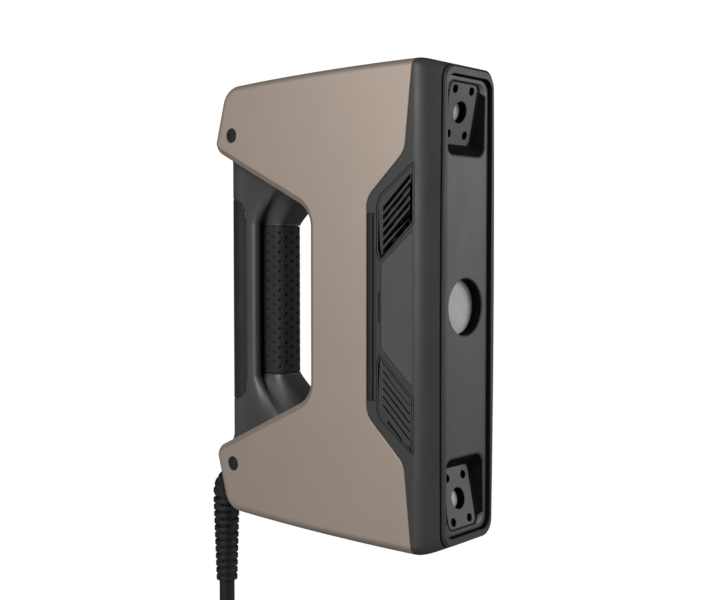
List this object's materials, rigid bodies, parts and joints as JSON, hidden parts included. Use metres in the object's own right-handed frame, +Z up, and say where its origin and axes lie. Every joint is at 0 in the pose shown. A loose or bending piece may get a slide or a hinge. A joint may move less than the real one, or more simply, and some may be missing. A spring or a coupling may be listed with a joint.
{
  "type": "handheld scanner",
  "caption": "Handheld optical scanner with a loop grip at the back, slanted camera pockets at the ends of its tall front, a central projector window, vents, keys and a data lead.",
  "frame": {"origin": "middle of the hand grip, where a hand closes round it", "axes": "+Z up along the grip, +X towards the front with the cameras, +Y to the scanner's left side"},
  "size_m": [0.1816, 0.1531, 0.3539],
  "materials": {
    "shell": "satin champagne-bronze metallic coat, edges wearing darker",
    "housing": "fine-grained dark grey moulded plastic",
    "panel": "smooth matt dark grey moulded plastic",
    "camera_plate": "smooth mid-grey moulded plastic",
    "frame": "matt near-black moulded plastic",
    "label_plate": "satin dark grey plate without lettering",
    "handle": "matt black moulded plastic",
    "back_cover": "soft-touch dark grey moulded plastic",
    "grip_rubber": "dimpled matt black rubber",
    "button": "soft dark grey keys with a faint satin",
    "light_pipe": "clear frosted light guide",
    "glass": "coated optical window",
    "lens_barrel": "black anodised lens barrel",
    "aluminium": "cast and milled aluminium",
    "steel": "blackened steel screws",
    "board": "green solder-masked circuit board",
    "cord": "matt black flexible cord sheath",
    "tie": "black hook-and-loop strap",
    "plug_metal": "nickel-plated plug shell"
  },
  "bodies": {
    "scanner_body": {"side_shell_left": "shell", "vent_grille_upper_left": "housing", "vent_grille_lower_left": "housing", "label_plate_left": "label_plate", "side_strip_left": "frame", "screw_cap_upper_left": "frame", "shell_screw_upper_left": "steel", "screw_cap_lower_left": "frame", "shell_screw_lower_left": "steel", "side_shell_right": "shell", "vent_grille_upper_right": "housing", "vent_grille_lower_right": "housing", "label_plate_right": "label_plate", "side_strip_right": "frame", "screw_cap_upper_right": "frame", "shell_screw_upper_right": "steel", "screw_cap_lower_right": "frame", "shell_screw_lower_right": "steel", "core_frame": "frame", "front_housing": "housing", "front_panel": "panel", "camera_plate_upper": "camera_plate", "camera_window_upper": "glass", "camera_lens_upper": "lens_barrel", "camera_board_upper": "board", "camera_screw_upper_1": "steel", "camera_screw_upper_2": "steel", "camera_screw_upper_3": "steel", "camera_screw_upper_4": "steel", "camera_plate_lower": "camera_plate", "camera_window_lower": "glass", "camera_lens_lower": "lens_barrel", "camera_board_lower": "board", "camera_screw_lower_1": "steel", "camera_screw_lower_2": "steel", "camera_screw_lower_3": "steel", "camera_screw_lower_4": "steel", "projector_window": "glass", "projector_lens": "lens_barrel", "projector_engine": "aluminium", "main_board": "board", "heat_sink": "aluminium", "fan_housing": "frame", "handle_core": "handle", "grip_sleeve": "grip_rubber", "handle_back_cover": "back_cover", "status_light_pipe": "light_pipe", "button_board": "board", "cable_elbow": "cord", "strain_relief": "cord", "cord_tube": "cord", "cord_coil": "cord", "cord_end": "cord", "coil_tie": "tie", "plug_body": "cord", "plug_shell": "plug_metal"},
    "scan_button": {"scan_button": "button"},
    "plus_button": {"plus_button": "button"},
    "minus_button": {"minus_button": "button"},
    "fan_rotor": {"fan_rotor": "frame"}
  },
  "joints": [
    {"name": "scan_press", "type": "slide", "parent": "scanner_body", "child": "scan_button", "axis": [1, 0, 0], "range_m": [0, 0.0008], "stiffness_N_per_m": 800},
    {"name": "plus_press", "type": "slide", "parent": "scanner_body", "child": "plus_button", "axis": [1, 0, 0], "range_m": [0, 0.0008], "stiffness_N_per_m": 800},
    {"name": "minus_press", "type": "slide", "parent": "scanner_body", "child": "minus_button", "axis": [1, 0, 0], "range_m": [0, 0.0008], "stiffness_N_per_m": 800},
    {"name": "fan_spin", "type": "hinge", "parent": "scanner_body", "child": "fan_rotor", "pos_m": [0.105, -0.0228, 0.045], "axis": [0, 1, 0], "continuous": true}
  ]
}
